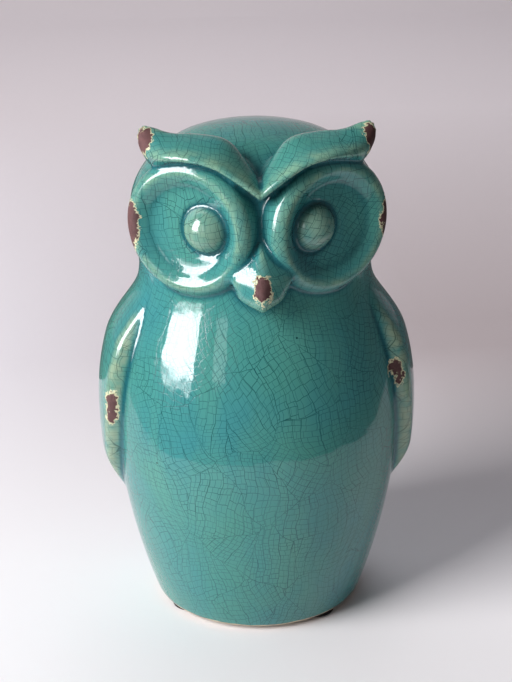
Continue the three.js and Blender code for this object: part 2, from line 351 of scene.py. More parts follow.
def open_line(points, t):
    """Catmull-Rom point at t, from 0 to 1, on an open line whose ends run on straight."""
    p = [Vector(q) for q in points]
    p = [2 * p[0] - p[1], *p, 2 * p[-1] - p[-2]]
    place = min(t, 0.9999) * (len(points) - 1)
    i, u = int(place), place - int(place)
    a, b, c, d = p[i:i + 4]
    return b + ((c - a) * u + (2 * a - 5 * b + 4 * c - d) * u**2 + (3 * b - a - 3 * c + d) * u**3) / 2


def brow_tree():
    """The right brow as a smooth closed loft, held in a tree that finds its nearest point."""
    sections, steps = [], 36
    for i in range(steps + 1):
        t = i / steps
        low, ridge, top = (open_line(line, t) for line in (BROW_LOWER, BROW_RIDGE, BROW_TOP))
        reach = 0.45 * (1 - 0.6 * t)
        corners = [low.lerp(BROW_ROOT, reach), top.lerp(BROW_ROOT, reach), top, ridge, low]
        sections.append(smooth_line(corners, 8))
    end = sections[-1]
    middle = end.mean(0)
    outwards = np.array([0.86, 0.24, 0.34])
    for turn in np.radians([20, 40, 58, 74, 86]):
        sections.append(middle + (end - middle) * math.cos(turn) + outwards * 4.2 * math.sin(turn))
    around = len(end)
    vertices = [Vector(v) for v in np.concatenate(sections)]
    faces = []
    for s in range(len(sections) - 1):
        for k in range(around):
            here, after = s * around + k, s * around + (k + 1) % around
            faces.append((here, after, after + around, here + around))
    faces += [tuple(range(around))[::-1], tuple(range(len(vertices) - around, len(vertices)))]
    shell = bmesh.new()
    made = [shell.verts.new(v) for v in vertices]
    for face in faces:
        shell.faces.new([made[i] for i in face])
    bmesh.ops.recalc_face_normals(shell, faces=shell.faces)
    bmesh.ops.triangulate(shell, faces=shell.faces)
    tree = BVHTree.FromBMesh(shell)
    shell.free()
    return tree


def brow_distance(points):
    tree, upwards = brow_tree(), Vector((0.1, 0.2, 1)).normalized()
    found = np.empty(len(points))
    for i, p in enumerate(points):
        found[i] = tree.find_nearest(Vector(p))[3]
        # A point is inside if a line from it passes the surface an odd number of times.
        start, hit = Vector(p), True
        while hit:
            hit = tree.ray_cast(start, upwards)[0]
            if hit:
                found[i] *= -1
                start = hit + upwards * 1e-3
    return found


# Lowest and highest corners of the space that each part of the right half takes up.
BROW_BOX = ((-8, -72, 216), (66, -6, 268))
EYE_BOX = ((-5, -80, 172), (80, 10, 252))
BEAK_BOX = ((-5, -80, 172), (24, -40, 216))
brow_field = sampled(*BROW_BOX, 1.1, brow_distance)

beak_heights, beak_widths, beak_ridges = zip(*BEAK_STATIONS)
beak_width = spline(beak_heights, beak_widths)
beak_ridge = spline(beak_heights, beak_ridges)


def beak_field(p):
    x, y, z = p.T
    width = np.maximum(beak_width(z)[0], 1.5)
    ridge = beak_ridge(z)[0]
    soft = 0.3  # how blunt the ridge is
    across = (np.sqrt((x / width)**2 + soft**2) - soft) / (math.sqrt(1 + soft**2) - soft)
    depth = BEAK_FACET * (BEAK_BACK_Y - ridge)
    facets = (ridge + depth * across - y) * width / np.hypot(width, depth)
    sides = (np.abs(x) - width) * 0.8
    form = common(facets, sides, 4.0)
    return common(form, np.maximum(beak_heights[0] - 1.5 - z, y - BEAK_BACK_Y), 2.5)


def near(p, low, high):
    return np.all((p > np.array(low)) & (p < np.array(high)), axis=1)


def outside_field(p):
    """The whole outside of the casting. Both halves are alike, so x is folded over the middle."""
    folded = np.stack([np.hypot(p[:, 0], 0.6), p[:, 1], p[:, 2]], 1)
    whole = body_field(p)

    def merge(low, high, field, reach):
        here = near(folded, low, high)
        if here.any():
            whole[here] = join(whole[here], field(folded[here], whole[here]), reach)

    here = near(folded, *EYE_BOX)
    if here.any():
        whole[here] = np.maximum(whole[here], -eye_space(folded[here]))
    merge((40, -40, 44), (90, 50, 186), wing_field, 2.5)
    merge((-5, -74, 214), (66, -4, 268), lambda q, _: brow_field(q), 8.0)
    merge(*EYE_BOX, lambda q, _: eye_field(q), 2.8)
    merge(*BEAK_BOX, lambda q, _: beak_field(q), 2.8)
    return whole


def casting_field(p):
    """The outside form with its flat foot, the recess and hole under it, and the coin slot's pocket."""
    x, y, z = p.T
    whole = common(outside_field(p), FOOT_Z - z, 4.5)
    from_axis = np.hypot(x, y)
    whole = cut(whole, np.maximum(from_axis - RECESS_RADIUS, z - FLOOR_Z), 1.6)
    whole = cut(whole, np.maximum(from_axis - HOLE_RADIUS, z - CHAMBER_Z - 4), 1.2)
    slot_end = np.maximum(np.abs(x) - (SLOT_LENGTH - SLOT_WIDTH) / 2, 0)
    slot = np.hypot(slot_end, z - SLOT_Z) - SLOT_WIDTH / 2
    return cut(whole, np.maximum(slot, SLOT_INNER_Y - y), 1.8)


# ---- meshes -----------------------------------------------------------------------------------

def surface_net(field, low, high, step):
    """Closed quad mesh of a field's zero surface: one vertex in each grid cell that it passes."""
    axes = [np.arange(a, b + step, step) for a, b in zip(low, high)]
    shape = tuple(len(a) for a in axes)
    value = np.empty(shape)
    for i, x in enumerate(axes[0]):
        y, z = np.meshgrid(axes[1], axes[2], indexing="ij")
        value[i] = field(np.stack([np.full(y.size, x), y.ravel(), z.ravel()], 1)).reshape(y.shape)
    # Where two sheets touch at a corner they would share an edge, so the gap there is filled.
    for _ in range(3):
        for one, two in ((0, 1), (1, 2), (0, 2)):
            views = []
            for a, b in np.ndindex(2, 2):
                part = [slice(None)] * 3
                part[one], part[two] = slice(a, shape[one] - 1 + a), slice(b, shape[two] - 1 + b)
                views.append(value[tuple(part)])
            sign = [view < 0 for view in views]
            touching = (sign[0] == sign[3]) & (sign[1] == sign[2]) & (sign[0] != sign[1])
            for view in views:
                view[touching] = np.minimum(view[touching], -0.02 * step)
    inside = value < 0
    cells = tuple(n - 1 for n in shape)

    def corner(array, offset):
        return array[tuple(slice(o, o + n) for o, n in zip(offset, cells))]

    corners = list(np.ndindex(2, 2, 2))
    filled = sum(corner(inside, c).astype(int) for c in corners)
    used = (filled > 0) & (filled < 8)
    index = np.full(cells, -1)
    index[used] = np.arange(used.sum())
    total, crossings = np.zeros((used.sum(), 3)), np.zeros((used.sum(), 1))
    for a in corners:
        for axis in range(3):
            if a[axis]:
                continue
            b = tuple(v + (k == axis) for k, v in enumerate(a))
            va, vb = corner(value, a)[used], corner(value, b)[used]
            crossed = (va < 0) != (vb < 0)
            place = np.tile(np.array(a, float), (len(va), 1))
            place[:, axis] = np.where(crossed, va / np.where(crossed, va - vb, 1), 0)
            total += place * crossed[:, None]
            crossings += crossed[:, None]
    vertices = np.array(low) + (np.argwhere(used) + total / crossings) * step

    quads = []
    for axis in range(3):
        one, two = (axis + 1) % 3, (axis + 2) % 3
        lower = [slice(1, n - 1) for n in shape]
        upper = list(lower)
        lower[axis], upper[axis] = slice(0, shape[axis] - 1), slice(1, shape[axis])
        crossed = inside[tuple(lower)] != inside[tuple(upper)]
        base = np.argwhere(crossed) + 1
        base[:, axis] -= 1
        around = []
        for back_one, back_two in ((0, 0), (1, 0), (1, 1), (0, 1)):
            cell = base.copy()
            cell[:, one] -= back_one
            cell[:, two] -= back_two
            around.append(index[tuple(cell.T)])
        quad = np.stack(around, 1)
        leaves = inside[tuple(lower)][crossed]
        quad[~leaves] = quad[~leaves][:, ::-1]
        quads.append(quad)
    return vertices, np.concatenate(quads)


def slope_of(field, p):
    step = 0.15
    return np.stack([
        (field(p + offset) - field(p - offset)) / (2 * step) for offset in np.eye(3) * step
    ], 1)


def settle(vertices, quads, field, rounds):
    """Evens out the vertices along the surface and brings each one exactly onto the field's zero."""
    start, end = np.concatenate([quads[:, [k, (k + 1) % 4]] for k in range(4)]).T
    count = len(vertices)
    links = np.bincount(start, minlength=count)[:, None]
    for _ in range(rounds):
        total = [np.bincount(start, weights=vertices[end, k], minlength=count) for k in range(3)]
        average = np.stack(total, 1) / links
        vertices = vertices + 0.5 * (average - vertices)
        slope = slope_of(field, vertices)
        steep = np.maximum((slope**2).sum(1), 0.05)
        vertices = vertices - np.clip(field(vertices) / steep, -1, 1)[:, None] * slope
    return vertices


def mesh_object(name, vertices, faces):
    """A mesh object from millimetre points; its place is in its mesh."""
    mesh = bpy.data.meshes.new(name)
    mesh.from_pydata((np.array(vertices) * MM).tolist(), [], [list(map(int, f)) for f in faces])
    mesh.validate()
    mesh.polygons.foreach_set("use_smooth", [True] * len(mesh.polygons))
    piece = bpy.data.objects.new(name, mesh)
    bpy.context.scene.collection.objects.link(piece)
    return piece


def net_piece(name, field, low, high, step):
    vertices, quads = surface_net(field, low, high, step)
    return mesh_object(name, settle(vertices, quads, field, 3), quads)


def points_of(mesh):
    """The mesh's points in millimetres."""
    flat = np.empty(len(mesh.vertices) * 3)
    mesh.vertices.foreach_get("co", flat)
    return flat.reshape(-1, 3) / MM


def revolve(name, profile, steps, squash=None):
    """A closed solid turned about Z from radius and height points that start and end on the axis.

    squash gives, for a height, the depth of the ring as a share of its width."""
    turn = np.linspace(0, 2 * math.pi, steps, endpoint=False)
    rings = profile[1:-1]
    vertices = [(0, 0, profile[0][1])]
    for r, z in rings:
        depth = squash(z) if squash else 1
        vertices += [(r * math.cos(a), r * depth * math.sin(a), z) for a in turn]
    vertices.append((0, 0, profile[-1][1]))
    faces = []
    for k in range(steps):
        after = (k + 1) % steps
        faces.append((0, 1 + after, 1 + k))
        for ring in range(len(rings) - 1):
            low = 1 + ring * steps
            faces.append((low + k, low + after, low + steps + after, low + steps + k))
        last = 1 + (len(rings) - 1) * steps
        faces.append((last + k, last + after, len(vertices) - 1))
    return mesh_object(name, vertices, faces)


def baked(piece):
    """Turns a piece with modifiers into a plain mesh and removes the modifiers."""
    shown = piece.evaluated_get(bpy.context.evaluated_depsgraph_get())
    plain = bpy.data.meshes.new_from_object(shown)
    piece.modifiers.clear()
    piece.data = plain
    return piece


def chamber_solid():
    """The hollow inside: the body's form less the wall, from the ceramic floor to the crown."""
    top, dome = CROWN_Z - WALL, 24
    rows = [CHAMBER_Z, *np.linspace(CHAMBER_Z + 3, top - dome, 26)]
    rows += [top - dome * (1 - math.sin(a)) for a in np.linspace(0.12, 1.42, 9)]
    profile = [(0, CHAMBER_Z)]
    for z in rows:
        # The wall is measured across the surface, so the crown is dropped and the sides drawn in.
        outer = math.sqrt(max(float(width_squared(np.array(z + WALL * smoothstep(z, 200, top)))[0]), 1))
        profile.append((outer - WALL * (1 - 0.55 * smoothstep(z, 215, top)), z))
    profile.append((0, top))
    depth_share = lambda z: 1 / math.sqrt(float(roundness(np.clip(z, heights[0], heights[-1]))[0]))
    return revolve("chamber", profile, 72, depth_share)


def glaze_record(piece):
    """Point attributes that the glaze reads: where it runs thin, where it pools, where it is missing."""
    mesh = piece.data
    p = points_of(mesh)
    # Around a ridge most of a small ball lies outside the form, and around a crease most lies inside.
    corners = np.array([c for c in np.ndindex(3, 3, 3) if c != (1, 1, 1)], float) - 1
    corners /= np.linalg.norm(corners, axis=1)[:, None]
    fine, broad = (sum(outside_field(p + c * r) for c in corners) / (len(corners) * r) for r in (2.6, 6.0))
    depth = smoothstep(-outside_field(p), 0.8, 2.4)  # 1 on the surfaces that are cut into the form
    # The front ridges of the wings were wiped, and the pupils a little, so the pale clay shows through.
    folded = np.stack([np.abs(p[:, 0]), p[:, 1], p[:, 2]], 1)
    off_pupil = np.linalg.norm(folded - pupil_centre, axis=1) - PUPIL_RADIUS
    off_edge = np.abs(wing_side(folded[:, 1:]) + 1.0)
    ridge = smoothstep(off_edge, 4.8, 0.8) * smoothstep(body_field(folded), 0.6, 3.5)
    ridge *= smoothstep(folded[:, 1], 2, -6) * smoothstep(folded[:, 2], 176, 150)
    wiped = np.maximum(0.3 * smoothstep(off_pupil, 1.6, 0.2), 0.65 * ridge)
    for name, values in (("ridge_fine", fine), ("ridge_broad", broad), ("wiped", wiped), ("inner", depth)):
        attribute = mesh.attributes.new(name, "FLOAT", "POINT")
        attribute.data.foreach_set("value", values.astype(np.float32))


def lay_flat(piece):
    """UVs in millimetres for the crackle: the skin rolled out in patches that meet in the creases."""
    mesh = piece.data
    corner_vertex = np.empty(len(mesh.loops), np.int32)
    mesh.loops.foreach_get("vertex_index", corner_vertex)
    sides = np.empty(len(mesh.polygons), np.int32)
    mesh.polygons.foreach_get("loop_total", sides)
    centres = np.empty(len(mesh.polygons) * 3)
    mesh.polygons.foreach_get("center", centres)
    centre = np.repeat(centres.reshape(-1, 3) / MM, sides, axis=0)
    p = points_of(mesh)[corner_vertex]
    side = np.where(centre[:, 0] < 0, -1, 1)
    folded_centre = np.stack([np.abs(centre[:, 0]), centre[:, 1], centre[:, 2]], 1)
    x, y, z = p.T

    # Body and wings: rolled out round the axis, and the crown laid flat from above.
    middle = np.arctan2(centre[:, 0], -centre[:, 1])
    turn = np.arctan2(x, -y) - middle
    turn = middle + (turn + math.pi) % (2 * math.pi) - math.pi
    rows = np.arange(0, CROWN_Z, 1.0)
    widths = np.sqrt(np.maximum(width_squared(rows)[0], 0))
    run = np.concatenate([[0], np.cumsum(np.hypot(1, np.diff(widths)))])
    sheet = np.stack([MEAN_RADIUS * turn, np.interp(z, rows, run)], 1)
    crown = centre[:, 2] > 240
    sheet[crown] = p[crown, :2] + (500, 0)

    # The brows and the beak are laid flat from the front, and each dish round its own axis.
    distance = {"body": np.abs(body_field(centre)) + 0.5}
    for name, low, high, field in (
        ("brow", *BROW_BOX, brow_field),
        ("eye", *EYE_BOX, eye_field),
        ("beak", *BEAK_BOX, beak_field),
    ):
        distance[name] = np.full(len(p), 99.0)
        here = near(folded_centre, low, high)
        distance[name][here] = np.abs(field(folded_centre[here]))
    nearest = np.argmin(np.stack(list(distance.values())), axis=0)
    brow, eye, beak = (nearest == k for k in (1, 2, 3))
    sheet[brow] = np.stack([x, 0.57 * y + 0.82 * z + 300 * side], 1)[brow]
    away = np.stack([x * side, y, z], 1) - EYE_CENTRE
    across, forward = away @ eye_side, away @ eye_out
    radius = np.maximum(np.hypot(across, away[:, 2]), 0.1)
    down = np.where(radius > EYE_RADIUS - 2, np.maximum(RIM_HEIGHT - forward, 0), 0)
    rolled = np.minimum(radius, EYE_RADIUS) + down
    scale = rolled / radius
    sheet[eye] = np.stack([across * side * scale + 900 * side, away[:, 2] * scale], 1)[eye]
    sheet[beak] = np.stack([1.3 * x + 1500, z], 1)[beak]
    mesh.uv_layers.new(name="crackle").data.foreach_set("uv", sheet.astype(np.float32).ravel())


def ceramic_piece():
    piece = net_piece("owl_casting", casting_field, (-84, -76, FOOT_Z - 4), (84, 74, 262), SKIN_STEP)
    chamber = chamber_solid()
    hollow = piece.modifiers.new("hollow", "BOOLEAN")
    hollow.operation = "DIFFERENCE"
    hollow.solver = "MANIFOLD"
    hollow.object = chamber
    baked(piece)
    bpy.data.objects.remove(chamber)
    piece.data.set_sharp_from_angle(angle=math.radians(60))
    glaze_record(piece)
    lay_flat(piece)
    return piece


def bung_field(p):
    """The soft bung: a flange with a grip bar under it, and a thin-walled cup that fills the hole."""
    x, y, z = p.T
    from_axis = np.hypot(x, y)
    flange_top = FLOOR_Z - GAP
    flange_low = flange_top - BUNG_FLANGE
    skirt = HOLE_RADIUS - GAP - BUNG_RIB
    cup_floor = flange_top + 0.6
    flange = common(from_axis - BUNG_FLANGE_RADIUS, np.maximum(flange_low - z, z - flange_top), 1.4)
    cup = common(from_axis - skirt, np.maximum(flange_top - 1 - z, z - flange_top - BUNG_SKIRT), 1.6)
    whole = join(flange, cup, 0.8)
    whole = cut(whole, common(from_axis - skirt + BUNG_WALL, cup_floor - z, 2.0), 1.2)
    bar_end = np.maximum(np.abs(x) - (GRIP_LENGTH - GRIP_WIDTH) / 2, 0)
    bar = common(np.hypot(bar_end, y) - GRIP_WIDTH / 2, flange_low - GRIP_HEIGHT - z, 1.6)
    return join(whole, np.maximum(bar, z - flange_top), 1.4)


# ---- small helpers for nodes --------------------------------------------------------------------

def add(tree, kind, sockets=None, give=0, **settings):
    """Adds a node with its settings, links or fills its inputs, and gives one of its outputs."""
    made = tree.nodes.new("ShaderNode" + kind if tree.type == "SHADER" else kind)
    for name, value in settings.items():
        setattr(made, name, value)
    for key, value in (sockets or {}).items():
        if isinstance(value, bpy.types.NodeSocket):
            tree.links.new(value, made.inputs[key])
        else:
            made.inputs[key].default_value = value
    return made.outputs[give] if len(made.outputs) else made


def colour(code):
    """A colour from its sRGB hex code, as the linear values that a shader takes."""
    channels = [int(code[i:i + 2], 16) / 255 for i in (1, 3, 5)]
    return (*[c / 12.92 if c <= 0.04045 else ((c + 0.055) / 1.055)**2.4 for c in channels], 1)


def new_material(name):
    material = bpy.data.materials.new(name)
    material.use_nodes = True
    material.node_tree.nodes.clear()
    return material, material.node_tree


# ---- materials ----------------------------------------------------------------------------------

# Settings of a Mix node for colours: 0 is the share, 6 and 7 are the two colours.
BLEND = {"give": 2, "data_type": "RGBA"}

# Places where the glaze was chipped off to show the brown stain: centre and half sizes.
CHIPS = [
    ((-51.8, -34, 252), (4.0, 5, 6.5)),
    ((52.2, -34, 251), (4.0, 5, 7.5)),
    ((-60, -31.5, 210.5), (5.5, 6, 12.5)),
    ((60.5, -31.5, 212), (3.4, 5, 8)),
    ((0, -69, 190.7), (4, 5, 6.4)),
    ((-72.3, -26.5, 118), (3.4, 4, 5.5)),
    ((-72.6, -26.0, 111), (3.0, 3.5, 4.6)),
    ((66.6, -29, 133.5), (2.8, 3.5, 4.2)),
    ((68.6, -28, 127.5), (2.4, 3.5, 3.8)),
]

# Small craters that bubbles left in the glaze: centre and radius.
PITS = [
    ((16.2, -56.1, 162), 0.6),
    ((-10.2, -60.5, 202.8), 0.5),
    ((-50.8, -48.4, 95.6), 0.6),
]

# Cracks that run by turns along and across: spacing and line width in mm, and strength, of each
# generation. Each starts again between its parents.
CRACK_GENERATIONS = ((4.9, 0.34, 1.0), (3.1, 0.3, 0.9), (2.6, 0.25, 0.75))


def crazing(tree):
    """Fine crack lines in the glaze: long wandering cracks, and short ones that run between them."""
    sheet = add(tree, "UVMap", uv_map="crackle")
    slow = add(tree, "TexNoise", {"Vector": sheet, "Scale": 1 / 42, "Detail": 1.0}, give="Color")
    quick = add(tree, "TexNoise", {"Vector": sheet, "Scale": 1 / 8, "Detail": 1.0}, give="Color")
    bent = add(tree, "VectorMath", {0: slow, 1: (22, 22, 0), 2: sheet}, operation="MULTIPLY_ADD")
    bent = add(tree, "VectorMath", {0: quick, 1: (2.2, 2.2, 0), 2: bent}, operation="MULTIPLY_ADD")
    # Inside each large field the cracks follow a direction of their own.
    field = {"Vector": bent, "Scale": 1 / 27}
    own = add(tree, "TexVoronoi", field, give="Color", voronoi_dimensions="2D")
    border = add(tree, "TexVoronoi", field, voronoi_dimensions="2D", feature="DISTANCE_TO_EDGE")
    lean = add(tree, "SeparateXYZ", {0: own})
    lean = add(tree, "Math", {0: lean, 1: 1.1, 2: -0.55}, operation="MULTIPLY_ADD")
    turned = add(tree, "VectorRotate", {"Vector": bent, "Angle": lean}, rotation_type="Z_AXIS")
    placed = add(tree, "VectorMath", {0: own, 1: (137, 91, 0), 2: turned}, operation="MULTIPLY_ADD")
    across = add(tree, "SeparateXYZ", {0: placed}, give="X")
    along = add(tree, "SeparateXYZ", {0: placed}, give="Y")
    darkness = add(tree, "MapRange", {"Value": border, "From Min": 0.14 / 27, "From Max": 0.04 / 27})
    start = 0.0
    for line, (spacing, width, strength) in enumerate(CRACK_GENERATIONS):
        way = along if line % 2 else across
        run = add(tree, "Math", {0: start, 1: 83.0, 2: way}, operation="MULTIPLY_ADD")
        cell = {"W": run, "Scale": 1 / spacing, "Randomness": 0.9}
        edge = add(tree, "TexVoronoi", cell, voronoi_dimensions="1D", feature="DISTANCE_TO_EDGE")
        low, high = 0.5 * width / spacing, 0.15 * width / spacing
        mark = add(tree, "MapRange", {"Value": edge, "From Min": low, "From Max": high, "To Max": strength})
        darkness = add(tree, "Math", {0: darkness, 1: mark}, operation="MAXIMUM")
        own = add(tree, "TexVoronoi", cell, give="Color", voronoi_dimensions="1D")
        start = add(tree, "Math", {0: add(tree, "SeparateXYZ", {0: own}), 1: start}, operation="ADD")
    return darkness


def chip_distance(tree, place):
    """About how far in mm the surface is from the ragged edge of the nearest chip, negative inside."""
    nearest = 99.0
    for centre, half in CHIPS:
        away = add(tree, "VectorMath", {0: place, 1: [c * MM for c in centre]}, operation="SUBTRACT")
        scaled = add(tree, "VectorMath", {0: away, 1: [h * MM for h in half]}, operation="DIVIDE")
        length = add(tree, "VectorMath", {0: scaled}, give="Value", operation="LENGTH")
        reach = {0: length, 1: min(half), 2: -min(half)}
        distance = add(tree, "Math", reach, operation="MULTIPLY_ADD")
        nearest = add(tree, "Math", {0: nearest, 1: distance}, operation="MINIMUM")
    ragged = {"Vector": place, "Scale": 1 / (3.6 * MM), "Detail": 4.0, "Roughness": 0.66}
    ragged = add(tree, "TexNoise", ragged)
    return add(tree, "Math", {0: ragged, 1: 9.0, 2: add(tree, "Math", {0: nearest, 1: -4.5})},
               operation="MULTIPLY_ADD")


def crackle_glaze():
    """Earthenware under a thick translucent copper glaze, fired glossy and crazed by cooling.

    The eye sees a mirror-like skin over a colour that turns pale where the glaze runs thin on
    ridges and deep blue-green where it pools, with dark stained crack lines and chipped edges."""
    material, tree = new_material("crackle_glazed_earthenware")
    place = add(tree, "TexCoord", give="Object")
    ridge_fine, ridge_broad, was_wiped, inner = (
        add(tree, "Attribute", give="Fac", attribute_name=name)
        for name in ("ridge_fine", "ridge_broad", "wiped", "inner")
    )
    cracks = crazing(tree)

    # Body colour: drifting patches of greener and bluer glaze, and runs that follow gravity.
    patches = add(tree, "TexNoise", {"Vector": place, "Scale": 1 / (60 * MM), "Detail": 3.0})
    streaks = add(tree, "Mapping", {"Vector": place, "Scale": (1, 1, 0.35)})
    runs = add(tree, "TexNoise", {"Vector": streaks, "Scale": 1 / (22 * MM), "Detail": 3.0})
    patches = add(tree, "MapRange", {"Value": patches, "From Min": 0.3, "From Max": 0.7})
    runs = add(tree, "MapRange", {"Value": runs, "From Min": 0.45, "From Max": 0.85})
    body = add(tree, "Mix", {0: patches, 6: colour("#42857a"), 7: colour("#3a7f84")}, **BLEND)
    body = add(tree, "Mix", {0: runs, 6: body, 7: colour("#4e8c7f")}, **BLEND)

    # Thin pale glaze on ridges, and paler still where it was wiped before firing.
    uneven = add(tree, "TexNoise", {"Vector": place, "Scale": 1 / (7 * MM), "Detail": 4.0})
    uneven = add(tree, "MapRange", {"Value": uneven, "From Min": 0.25, "From Max": 0.6})
    thin = add(tree, "MapRange", {"Value": ridge_fine, "From Min": 0.045, "From Max": 0.13, "To Max": 0.4})
    high = add(tree, "MapRange", {"Value": ridge_broad, "From Min": 0.09, "From Max": 0.28, "To Max": 0.4})
    thin = add(tree, "Math", {0: add(tree, "Math", {0: thin, 1: high}, operation="MAXIMUM"), 1: uneven},
               operation="MULTIPLY")
    wiped = add(tree, "Math", {0: was_wiped, 1: uneven}, operation="MULTIPLY")
    body = add(tree, "Mix", {0: thin, 6: body, 7: colour("#9db793")}, **BLEND)
    body = add(tree, "Mix", {0: wiped, 6: body, 7: colour("#9aa68a")}, **BLEND)

    # Pooled glaze in creases, then the stained cracks over everything.
    low = add(tree, "MapRange", {"Value": ridge_fine, "From Min": -0.02, "From Max": -0.12, "To Max": 0.85})
    deep = add(tree, "MapRange", {"Value": ridge_broad, "From Min": -0.05, "From Max": -0.24, "To Max": 0.85})
    pooled = add(tree, "Math", {0: low, 1: deep}, operation="MAXIMUM")
    body = add(tree, "Mix", {0: pooled, 6: body, 7: colour("#0f4f5a")}, **BLEND)
    faint = add(tree, "TexNoise", {"Vector": place, "Scale": 1 / (18 * MM), "Detail": 2.0})
    faint = add(tree, "MapRange", {
        "Value": faint, "From Min": 0.3, "From Max": 0.65, "To Min": 0.5, "To Max": 0.95,
    })
    stained = add(tree, "Math", {0: cracks, 1: faint}, operation="MULTIPLY")
    stain = add(tree, "Mix", {0: wiped, 6: colour("#0a3c42"), 7: colour("#44604c")}, **BLEND)
    body = add(tree, "Mix", {0: stained, 6: body, 7: stain}, **BLEND)

    # Chips: a brown stained floor inside a cream broken edge.
    chip = chip_distance(tree, place)
    speckle = add(tree, "TexNoise", {"Vector": place, "Scale": 1 / (2.5 * MM), "Detail": 3.0})
    stain = add(tree, "Mix", {0: speckle, 6: colour("#33191b"), 7: colour("#5e3c3b")}, **BLEND)
    broken = add(tree, "MapRange", {"Value": chip, "From Min": 0.75, "From Max": 0.35})
    floor = add(tree, "MapRange", {"Value": chip, "From Min": -0.05, "From Max": -0.3})
    body = add(tree, "Mix", {0: broken, 6: body, 7: colour("#c9c6a2")}, **BLEND)
    body = add(tree, "Mix", {0: floor, 6: body, 7: stain}, **BLEND)

    for centre, radius in PITS:
        away = {0: place, 1: [c * MM for c in centre]}
        away = add(tree, "VectorMath", away, give="Value", operation="DISTANCE")
        pit = add(tree, "MapRange", {"Value": away, "From Min": radius * MM, "From Max": 0.5 * radius * MM})
        body = add(tree, "Mix", {0: pit, 6: body, 7: colour("#0d2f33")}, **BLEND)

    # Bare biscuit where the foot was wiped clean, under the base and in the coin chamber.
    height = add(tree, "SeparateXYZ", {0: place}, give="Z")
    drift = add(tree, "TexNoise", {"Vector": place, "Scale": 1 / (12 * MM), "Detail": 3.0})
    drift = add(tree, "Math", {0: drift, 1: 3.2 * MM, 2: height}, operation="MULTIPLY_ADD")
    foot = add(tree, "MapRange", {"Value": drift, "From Min": 5.6 * MM, "From Max": 4.8 * MM})
    bare = add(tree, "Math", {0: foot, 1: inner}, operation="MAXIMUM", use_clamp=True)
    clay = add(tree, "TexNoise", {"Vector": place, "Scale": 1 / (5 * MM), "Detail": 4.0})
    clay = add(tree, "Mix", {0: clay, 6: colour("#bba888"), 7: colour("#d9cdb6")}, **BLEND)
    body = add(tree, "Mix", {0: bare, 6: body, 7: clay}, **BLEND)

    dull = add(tree, "Math", {0: broken, 1: bare}, operation="MAXIMUM")
    gloss = add(tree, "TexNoise", {"Vector": place, "Scale": 1 / (30 * MM), "Detail": 2.0})
    gloss = add(tree, "Math", {0: gloss, 1: 0.04, 2: 0.015}, operation="MULTIPLY_ADD")
    roughness = add(tree, "Mix", {0: dull, 2: gloss, 3: 0.72}, data_type="FLOAT")

    # In mm: the glaze swells slowly, sinks slightly along each crack, and stands above the chips.
    swell = add(tree, "TexNoise", {"Vector": place, "Scale": 1 / (24 * MM), "Detail": 2.0, "Roughness": 0.4})
    ripple = add(tree, "TexNoise", {"Vector": place, "Scale": 1 / (6 * MM), "Detail": 2.0, "Roughness": 0.4})
    grain = add(tree, "TexNoise", {"Vector": place, "Scale": 1 / (0.9 * MM), "Detail": 3.0, "Roughness": 0.6})
    grain = add(tree, "Math", {0: grain, 1: dull}, operation="MULTIPLY")
    relief = add(tree, "Math", {0: swell, 1: 0.4}, operation="MULTIPLY")
    for layer, depth in ((ripple, 0.035), (cracks, -0.012), (floor, -0.35), (grain, 0.18)):
        relief = add(tree, "Math", {0: layer, 1: depth, 2: relief}, operation="MULTIPLY_ADD")
    bump = add(tree, "Bump", {"Height": relief, "Distance": MM, "Strength": 1.0})
    surface = {"Base Color": body, "Roughness": roughness, "Normal": bump, "IOR": 1.52}
    add(tree, "OutputMaterial", {"Surface": add(tree, "BsdfPrincipled", surface)})
    return material


def soft_vinyl():
    """Moulded plasticised PVC: pale, slightly waxy, with a faint spark-eroded grain."""
    material, tree = new_material("moulded_soft_pvc")
    place = add(tree, "TexCoord", give="Object")
    cloud = add(tree, "TexNoise", {"Vector": place, "Scale": 1 / (9 * MM), "Detail": 3.0})
    tone = add(tree, "Mix", {0: cloud, 6: colour("#cfcbbd"), 7: colour("#e3e0d6")}, **BLEND)
    handled = add(tree, "TexNoise", {"Vector": place, "Scale": 1 / (2 * MM), "Detail": 3.0})
    rough = add(tree, "Math", {0: handled, 1: 0.16, 2: 0.36}, operation="MULTIPLY_ADD")
    grain = add(tree, "TexNoise", {"Vector": place, "Scale": 1 / (0.5 * MM), "Detail": 3.0, "Roughness": 0.6})
    bump = add(tree, "Bump", {"Height": grain, "Distance": 0.06 * MM, "Strength": 0.6})
    surface = {
        "Base Color": tone, "Roughness": rough, "Normal": bump, "IOR": 1.53,
        "Subsurface Weight": 0.15, "Subsurface Radius": (0.002, 0.0016, 0.0012),
    }
    add(tree, "OutputMaterial", {"Surface": add(tree, "BsdfPrincipled", surface)})
    return material


def closed_cell_foam():
    """Die-cut neoprene foam: near black and dull, with small open pores where it was cut."""
    material, tree = new_material("die_cut_neoprene_foam")
    place = add(tree, "TexCoord", give="Object")
    pores = add(tree, "TexVoronoi", {"Vector": place, "Scale": 1 / (0.8 * MM)})
    pit = add(tree, "MapRange", {"Value": pores, "From Min": 0.1, "From Max": 0.45})
    tone = add(tree, "Mix", {0: pit, 6: colour("#0c0c0d"), 7: colour("#232224")}, **BLEND)
    bump = add(tree, "Bump", {"Height": pit, "Distance": 0.15 * MM, "Strength": 0.8})
    surface = {"Base Color": tone, "Roughness": 0.92, "Normal": bump, "IOR": 1.5}
    add(tree, "OutputMaterial", {"Surface": add(tree, "BsdfPrincipled", surface)})
    return material


# ---- pieces -------------------------------------------------------------------------------------

def finish_piece(piece, material, body, slot_name, *nodes):
    piece.data.materials.clear()
    piece.data.materials.append(material)
    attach(piece, body)
    if nodes:
        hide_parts(*nodes)


